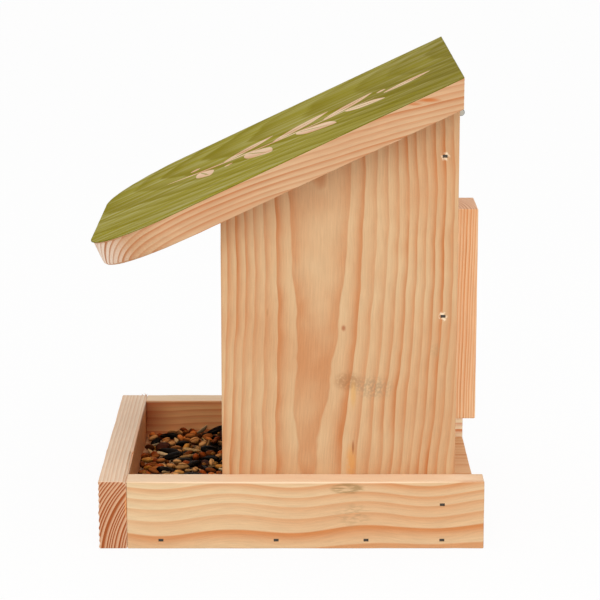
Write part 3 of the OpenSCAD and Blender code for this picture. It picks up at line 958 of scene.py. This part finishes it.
# length, width and thickness, share of the mix, taper to one end, colours from middling to
# light and dark, how far ribs show paler, and roughness
seedKinds = {
    "sunflower": {"size": (12.8, 6.4, 4.2), "share": 0.43, "taper": 0.6, "stripe": 0.45, "rough": 0.5,
                  "colours": ("#120C08", "#261E17", "#080503")},
    "wheat": {"size": (6.4, 3.9, 3.4), "share": 0.3, "taper": 0.16, "stripe": 0.15, "rough": 0.5,
              "colours": ("#BC6C30", "#F0B06A", "#70340F"), "creaseShade": 0.75},
    "milo": {"size": (4.9, 4.6, 4.2), "share": 0.15, "taper": 0.1, "stripe": 0.0, "rough": 0.38,
             "colours": ("#AC4E18", "#E4823A", "#70290A")},
    "millet": {"size": (2.8, 2.5, 2.3), "share": 0.06, "taper": 0.1, "stripe": 0.0, "rough": 0.45,
               "colours": ("#8A5522", "#A9702F", "#4C250D")},
    "oat": {"size": (8.4, 3.4, 2.6), "share": 0.05, "taper": 0.5, "stripe": 0.3, "rough": 0.6,
            "colours": ("#D6A86C", "#EFD2A0", "#A8733A"), "curl": 0.5},
    "berry": {"size": (8.6, 7.6, 3.2), "share": 0.05, "taper": 0.1, "stripe": 0.25, "rough": 0.6,
              "colours": ("#3E1D10", "#57291A", "#2E150C"), "shrivel": 0.22},
    "maize": {"size": (6.0, 5.0, 3.6), "share": 0.03, "taper": 0.35, "stripe": 0.0, "rough": 0.5,
              "colours": ("#D0812A", "#E0A050", "#A8631C"), "shrivel": 0.22},
    "peanut": {"size": (6.8, 4.6, 4.0), "share": 0.03, "taper": 0.2, "stripe": 0.1, "rough": 0.55,
               "colours": ("#DCA468", "#EEC48E", "#B07338"), "shrivel": 0.22},
    "straw": {"size": (12.0, 1.2, 0.8), "share": 0.008, "taper": 0.3, "stripe": 0.3, "rough": 0.6,
              "colours": ("#C79C5C", "#A87B3F", "#DDBB80"), "curl": 0.5},
}
seedSkin = {"ribColour": "#5C4C3D", "ribs": (0.5, 4.2, 2.0), "ribDepth": 0.15, "gloss": 0.03}


def seedCoat(name, kind):
    # dry seed coat: each seed its own shade, ribs along it, a dull gloss, and painted light and shade: paler
    # on top, darker low on its sides
    material, tree, shader = newMaterial(name + "Coat")
    middling, light, dark = [linear(c) for c in kind["colours"]]
    shade = addNode(tree, "Attribute", attribute_name="shade")
    skin = addNode(tree, "Attribute", attribute_name="skin")
    sides = addNode(tree, "SeparateXYZ", {0: skin.outputs["Vector"]})
    ramp = addNode(tree, "ValToRGB", {0: shade.outputs["Fac"]})
    stops = ramp.color_ramp.elements
    stops[0].color = dark
    stops[1].color = light
    stops.new(0.5).color = middling
    ribs = addNode(tree, "VectorMath", {
        0: skin.outputs["Vector"], 1: seedSkin["ribs"],
    }, operation="MULTIPLY")
    rib = addNode(tree, "TexNoise", {
        "Vector": ribs, "W": shade.outputs["Fac"], "Scale": 1.0, "Detail": 2.5,
    }, noise_dimensions="4D")
    colour = layOver(tree, ramp, linear(seedSkin["ribColour"]), rib, (0.52, 0.72), (0, kind["stripe"]))
    colour = vary(tree, colour, rib, (0.3, 0.7), (0.75, 1.2))
    if "creaseShade" in kind:  # painted shade in the groove down a grain, which the mesh doesn't cut
        across = addNode(tree, "Math", {0: sides.outputs["Y"]}, operation="ABSOLUTE")
        colour = layOver(tree, colour, dark, across, (0.26, 0.05), (0, kind["creaseShade"]),
                         interpolation_type="SMOOTHSTEP")
    # painted light and shade: each seed lighter on its top and darker low on its sides, where seeds shade
    # each other
    colour = vary(tree, colour, sides.outputs["Z"], (-0.2, 0.7), (0.3, 1.15),
                  interpolation_type="SMOOTHSTEP")
    bump = addNode(tree, "Bump", {"Height": rib, "Strength": 0.4, "Distance": seedSkin["ribDepth"] * mm})
    feed(tree, shader, {
        "Base Color": colour, "Normal": bump, "Roughness": kind["rough"],
        "Specular IOR Level": seedSkin["gloss"],
    })
    return material


def seedShape(name, kind):
    # one seed of unit half sizes, lying along X
    bm = bmesh.new()
    bmesh.ops.create_uvsphere(bm, u_segments=8, v_segments=7, radius=1)
    bmesh.ops.rotate(bm, verts=bm.verts, matrix=Matrix.Rotation(math.pi / 2, 3, "Y"))
    for vert in bm.verts:
        narrow = 1 - kind["taper"] * (0.5 + 0.5 * vert.co.x)
        vert.co.y *= narrow
        vert.co.z *= 0.4 + 0.6 * narrow
        if "shrivel" in kind:
            vert.co *= 1 + kind["shrivel"] * noise.noise(vert.co * 1.7 + Vector((3.1, 0, len(name))))
        if "curl" in kind:
            vert.co.z += kind["curl"] * (vert.co.x ** 2 - 0.4)
    mesh = bpy.data.meshes.new(name)
    bm.to_mesh(mesh)
    bm.free()
    return mesh


def emptyBed():
    # a grid over tray and hopper, with the height of what lies there
    width, front, mouth = seedMix["tray"]
    narrow, _, back = seedMix["hopper"]
    margin, cell = seedMix["margin"], seedMix["cell"]
    across = np.arange(-width - margin, width + margin, cell)
    deep = np.arange(front - margin, back + margin, cell)
    xs, ys = np.meshgrid(across, deep, indexing="ij")
    inside = (ys > front) & (ys < back) & (np.abs(xs) < np.where(ys < mouth, width, narrow))
    return xs, ys, np.where(inside, seedMix["floor"], seedMix["wall"])


def seedReach(half):
    # cells each way that a seed may cover, with two to spare
    return int(half[0] / seedMix["cell"]) + 2


def restAt(bed, half, yaw, i, j):
    # how a seed would lie at a place on the grid, tipped with what is under it
    xs, ys, height = bed
    cos, sin = math.cos(yaw), math.sin(yaw)
    reach = seedReach(half)
    patch = (slice(i - reach, i + reach + 1), slice(j - reach, j + reach + 1))
    dx, dy = xs[patch] - xs[i, j], ys[patch] - ys[i, j]
    along, side = (dx * cos + dy * sin) / half[0], (dy * cos - dx * sin) / half[1]
    far = along ** 2 + side ** 2
    under = far < 1
    ground = height[patch][under]
    if ground.max() >= seedMix["wall"]:
        return None
    plan = np.stack([dx[under], dy[under], np.ones(under.sum())], 1)
    slope = np.linalg.lstsq(plan, ground, rcond=None)[0][:2]
    slope = slope.clip(-seedMix["steepest"], seedMix["steepest"]) * seedMix["follow"]
    tip = dx * slope[0] + dy * slope[1]
    bulge = half[2] * np.sqrt(np.clip(1 - far, 0, 1))
    rest = (ground - tip[under] + bulge[under]).max() - seedMix["settle"]
    _, front, mouth = seedMix["tray"]
    share = min(max((ys[i, j] - front) / (mouth - front), 0), 1)
    limit = seedMix["frontTop"] + (seedMix["backTop"] - seedMix["frontTop"]) * share
    return {"over": rest + half[2] * seedMix["crown"] - limit, "spot": (xs[i, j], ys[i, j], rest),
            "slope": slope, "patch": patch, "under": under, "top": rest + tip + bulge}


def dropSeeds():
    # each seed takes the lowest of a few places, and the next ones lie on it
    pick = np.random.default_rng(seedMix["draw"])
    bed = emptyBed()
    rows, columns = bed[0].shape
    height = bed[2]
    names = list(seedKinds)
    shares = np.array([seedKinds[n]["share"] for n in names])
    laid = {n: [] for n in names}
    for _ in range(seedMix["count"]):
        name = names[pick.choice(len(names), p=shares / shares.sum())]
        grown = pick.normal(1, seedMix["spread"], 3).clip(*seedMix["sizes"])
        half = np.array(seedKinds[name]["size"]) / 2 * grown
        yaw = pick.choice((-1, 1)) * math.pi / 2 + pick.normal(0, seedMix["yaw"])
        reach = seedReach(half)
        places = [restAt(bed, half, yaw, pick.integers(reach, rows - reach),
                         pick.integers(reach, columns - reach)) for _ in range(seedMix["tries"])]
        best = min(filter(None, places), key=lambda place: place["over"], default=None)
        if best is None or best["over"] > seedMix["heap"]:
            continue
        patch = best["patch"]
        height[patch] = np.where(best["under"], np.maximum(height[patch], best["top"]), height[patch])
        up = Vector((-best["slope"][0], -best["slope"][1], 1)).normalized()
        lean = Vector((0, 0, 1)).rotation_difference(up).to_matrix().to_4x4()
        roll = Matrix.Rotation(pick.normal(0, seedMix["roll"]), 4, "X")
        roll = roll @ Matrix.Rotation(pick.normal(0, seedMix["tip"]), 4, "Y")
        turn = lean @ Matrix.Rotation(yaw, 4, "Z") @ roll
        spot = Matrix.Scale(mm, 4) @ Matrix.Translation(best["spot"])
        laid[name].append((spot @ turn @ Matrix.Diagonal((*half, 1)), pick.uniform()))
    return laid


for name, seeds in dropSeeds().items():
    base = seedShape(name, seedKinds[name])
    count = len(base.vertices)
    skin = np.empty(count * 3, dtype=np.float32)
    base.vertices.foreach_get("co", skin)
    bm = bmesh.new()
    for matrix, shade in seeds:
        base.transform(matrix)
        bm.from_mesh(base)
        base.transform(matrix.inverted())
    piece = newPiece("seed" + name.capitalize(), bm, [seedCoat(name, seedKinds[name])])
    piece.data.polygons.foreach_set("use_smooth", [True] * len(piece.data.polygons))
    shades = piece.data.attributes.new("shade", "FLOAT", "POINT")
    shades.data.foreach_set("value", np.repeat([shade for matrix, shade in seeds], count))
    skins = piece.data.attributes.new("skin", "FLOAT_VECTOR", "POINT")
    skins.data.foreach_set("vector", np.tile(skin, len(seeds)))
    bpy.data.meshes.remove(base)
    standFor(piece, "house", seedMix)
    print("seeds laid,", name, len(seeds))
